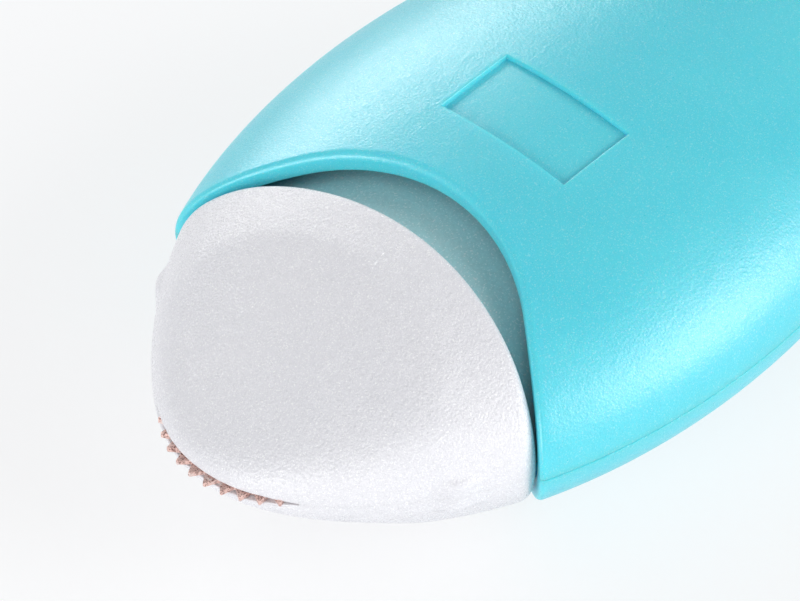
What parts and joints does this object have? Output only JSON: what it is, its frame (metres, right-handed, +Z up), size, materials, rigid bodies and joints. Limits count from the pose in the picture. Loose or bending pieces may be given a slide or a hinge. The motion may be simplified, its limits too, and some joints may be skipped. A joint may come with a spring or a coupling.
{
  "type": "chalk wheel marker",
  "caption": "Palm-held chalk wheel: a pebble-shaped handle with a pull-out powder cartridge and a toothed wheel that lays a chalk line on cloth.",
  "frame": {"origin": "centre of the bounding box in plan, on the surface that the tool lies on", "axes": "+X from the wheel to the tail, +Z up from the cheek that it lies on, +Y across the tool; the wheel turns about a Z axis"},
  "size_m": [0.0816, 0.049, 0.0237],
  "materials": {
    "handle_plastic": "fine spark-eroded grain, satin, turquoise",
    "cartridge_plastic": "fine spark-eroded grain, translucent white",
    "cap_plastic": "smooth white",
    "stopper_rubber": "soft matt grey",
    "chalk_powder": "dry white powder",
    "wheel_copper": "stamped and plated, copper-coloured",
    "hub_plastic": "smooth",
    "pin_steel": "ground",
    "bush_plastic": "smooth, natural",
    "felt": "pressed wool felt"
  },
  "bodies": {
    "handle": {"handle_top_shell": "handle_plastic", "handle_bottom_shell": "handle_plastic"},
    "cartridge": {"cartridge_top_shell": "cartridge_plastic", "cartridge_bottom_shell": "cartridge_plastic", "cartridge_end_cap": "cap_plastic", "chalk_charge": "chalk_powder", "axle_bush_top": "bush_plastic", "axle_bush_bottom": "bush_plastic", "wiper_felt_top": "felt", "wiper_felt_bottom": "felt"},
    "wheel": {"chalk_wheel": "wheel_copper", "wheel_hub": "hub_plastic", "hub_ring": "hub_plastic", "axle_pin": "pin_steel"},
    "stopper": {"filler_stopper": "stopper_rubber"}
  },
  "joints": [
    {"name": "cartridge_slide", "type": "slide", "parent": "handle", "child": "cartridge", "axis": [-1, 0, 0], "range_m": [0, 0.034]},
    {"name": "wheel_spin", "type": "hinge", "parent": "cartridge", "child": "wheel", "pos_m": [-0.03083, 0, 0.01175], "axis": [0, 0, 1], "continuous": true},
    {"name": "stopper_pull", "type": "slide", "parent": "cartridge", "child": "stopper", "axis": [1, 0, 0], "range_m": [0, 0.008]}
  ]
}
